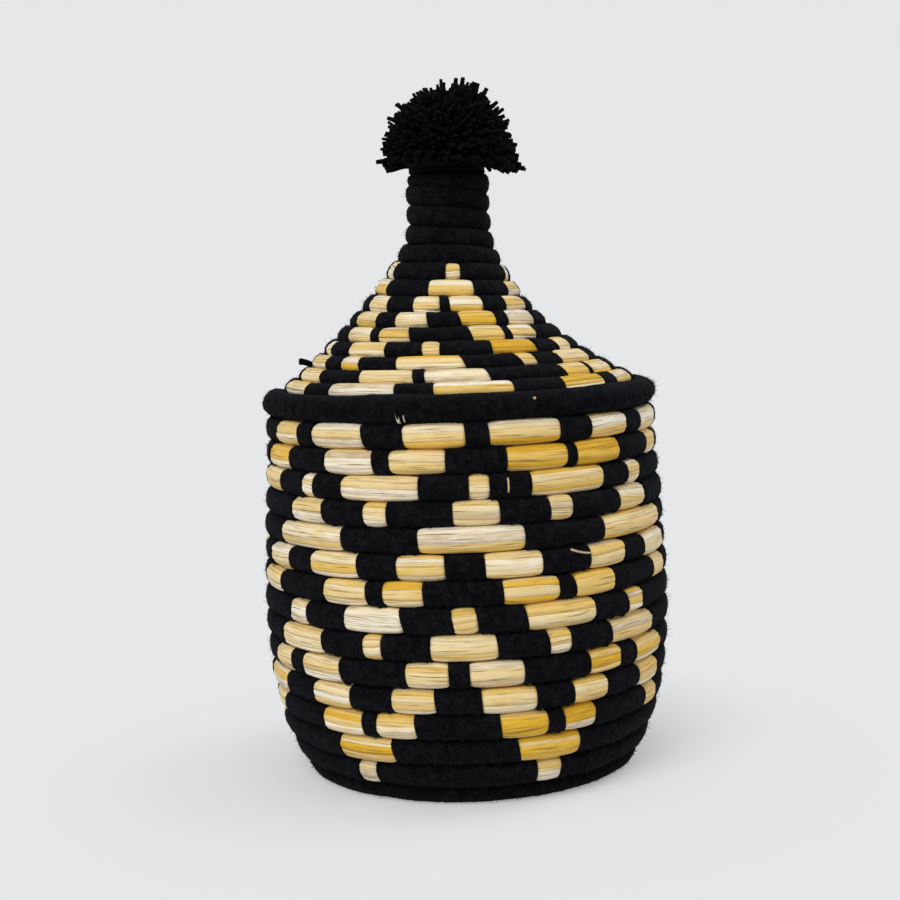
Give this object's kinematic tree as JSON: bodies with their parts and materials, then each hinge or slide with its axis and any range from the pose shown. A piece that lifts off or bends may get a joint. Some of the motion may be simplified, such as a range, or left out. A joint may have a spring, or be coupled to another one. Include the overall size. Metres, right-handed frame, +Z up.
{
  "type": "lidded coiled basket",
  "caption": "Round coiled straw basket wrapped in dark wool, with a flared conical lid, a coiled neck and a tuft of cut yarn to lift it by.",
  "frame": {"origin": "middle of the underside, on the surface that the basket stands on", "axes": "+Z up along the basket's axis, -Y towards the front, +X to the right as seen from the front"},
  "size_m": [0.2064, 0.2032, 0.3437],
  "materials": {
    "wrapped_wool": "matte",
    "bare_straw": "satin",
    "rim_wool": "matte",
    "cut_wool": "matte"
  },
  "bodies": {
    "basket": {"base_coil": "wrapped_wool", "wall_coil": "wrapped_wool"},
    "lid": {"lid_rim_coil": "rim_wool", "lid_coil": "wrapped_wool", "lid_collar_coil": "bare_straw", "tuft_tie": "rim_wool", "tuft": "cut_wool"}
  },
  "joints": [
    {"name": "lid_lift", "type": "slide", "parent": "basket", "child": "lid", "axis": [0, 0, 1], "range_m": [0, 0.2]}
  ]
}
